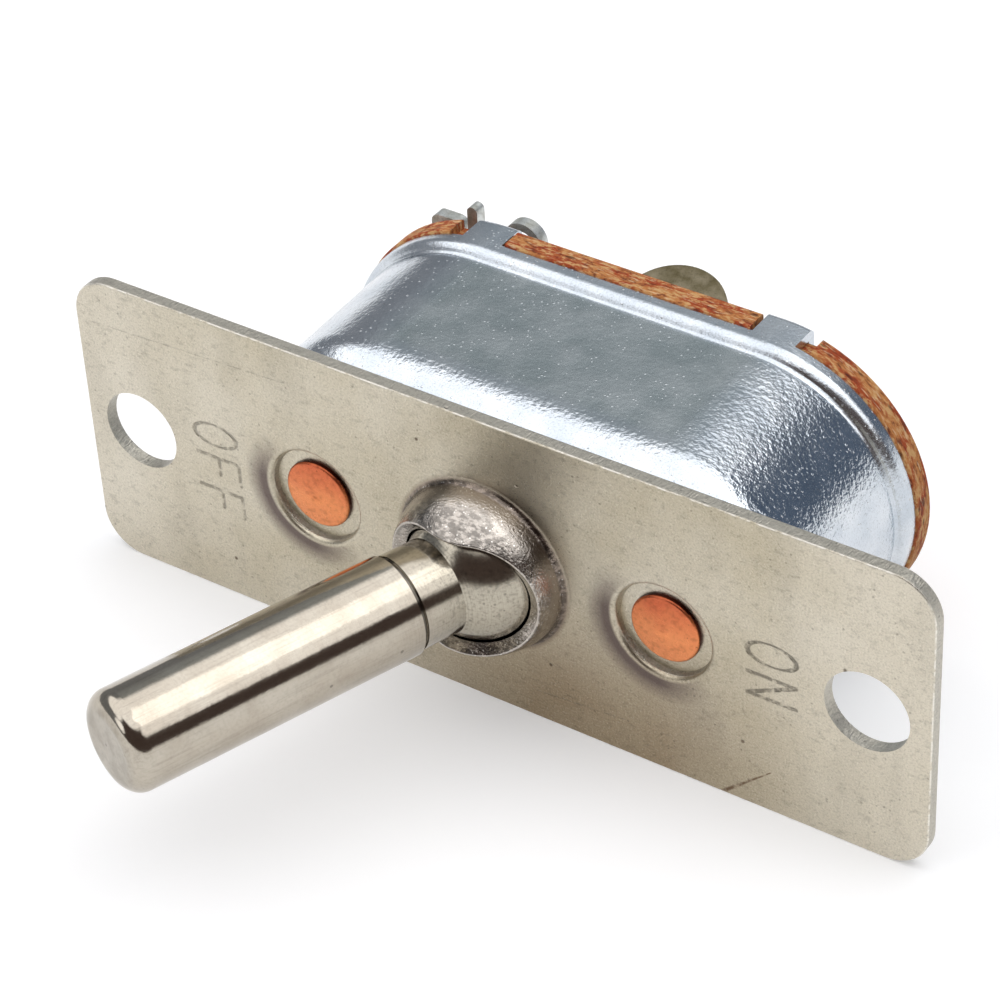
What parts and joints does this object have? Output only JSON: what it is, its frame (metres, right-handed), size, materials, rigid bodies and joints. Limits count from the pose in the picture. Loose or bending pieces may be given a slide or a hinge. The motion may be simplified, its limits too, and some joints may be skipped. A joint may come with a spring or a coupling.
{
  "type": "panel-mounted lever light switch",
  "caption": "Vintage vehicle light switch: a tilting metal lever in a domed collar on a lettered plate, with a drawn metal cup and terminals behind.",
  "frame": {"origin": "centre of the mounting plate's rear face, on the collar's axis, midway between the two fixing holes", "axes": "+X along the plate towards its ON end; -Y out towards the user, with the lever leaning in the XY plane; +Y back to the terminals; +Z across the plate, away from its lower edge"},
  "size_m": [0.058, 0.0477, 0.0204],
  "materials": {
    "nickel_plate": "satin nickel plate on steel, warm and faintly speckled",
    "lever_nickel": "bright nickel plate, lightly scratched",
    "copper": "plain copper, softly dulled",
    "zinc_cup": "bright zinc plate on drawn steel, orange-peel at the bends",
    "fibre_board": "brown fibre board with a rough cut edge",
    "fibre_block": "brown fibre",
    "fibre_paper": "brown fibre paper",
    "terminal_zinc": "dull zinc plate on brass",
    "inner_steel": "plain steel, oiled",
    "spring_steel": "drawn spring wire",
    "contact_brass": "plain sheet brass",
    "rivet_brass": "plain brass",
    "contact_silver": "silver contact face"
  },
  "bodies": {
    "housing": {"mounting_plate": "nickel_plate", "plate_rivet_left": "copper", "plate_rivet_right": "copper", "housing_cup": "zinc_cup", "base_board": "fibre_board", "common_terminal": "terminal_zinc", "on_terminal": "terminal_zinc", "ball_seat": "inner_steel", "insulating_liner": "fibre_paper", "rocker_pin": "inner_steel", "rocker_support": "contact_brass", "on_contact": "contact_brass", "fixed_contact_button": "contact_silver", "off_stop": "fibre_block", "stop_rivet": "rivet_brass", "common_rivet_left": "rivet_brass", "common_rivet_right": "rivet_brass", "on_rivet_upper": "rivet_brass", "on_rivet_lower": "rivet_brass"},
    "lever": {"lever": "lever_nickel", "plunger_spring": "spring_steel"},
    "plunger": {"plunger": "inner_steel"},
    "rocker": {"rocker_contact": "contact_brass", "moving_contact_button": "contact_silver"}
  },
  "joints": [
    {"name": "lever_tilt", "type": "hinge", "parent": "housing", "child": "lever", "pos_m": [0, -0.00065, 0], "axis": [0, 0, 1], "range_deg": [0, 40]},
    {"name": "plunger_slide", "type": "slide", "parent": "lever", "child": "plunger", "axis": [-0.342, -0.9397, 0], "range_m": [0, 0.0008], "stiffness_N_per_m": 200, "springref_m": -0.005, "deforming": ["plunger_spring"]},
    {"name": "rocker_tilt", "type": "hinge", "parent": "housing", "child": "rocker", "pos_m": [0, 0.0112, 0], "axis": [0, 0, 1], "range_deg": [-16, 0]}
  ],
  "couplings": [
    {"joint": "rocker_tilt", "follows": "lever_tilt", "ratio": -0.4}
  ]
}
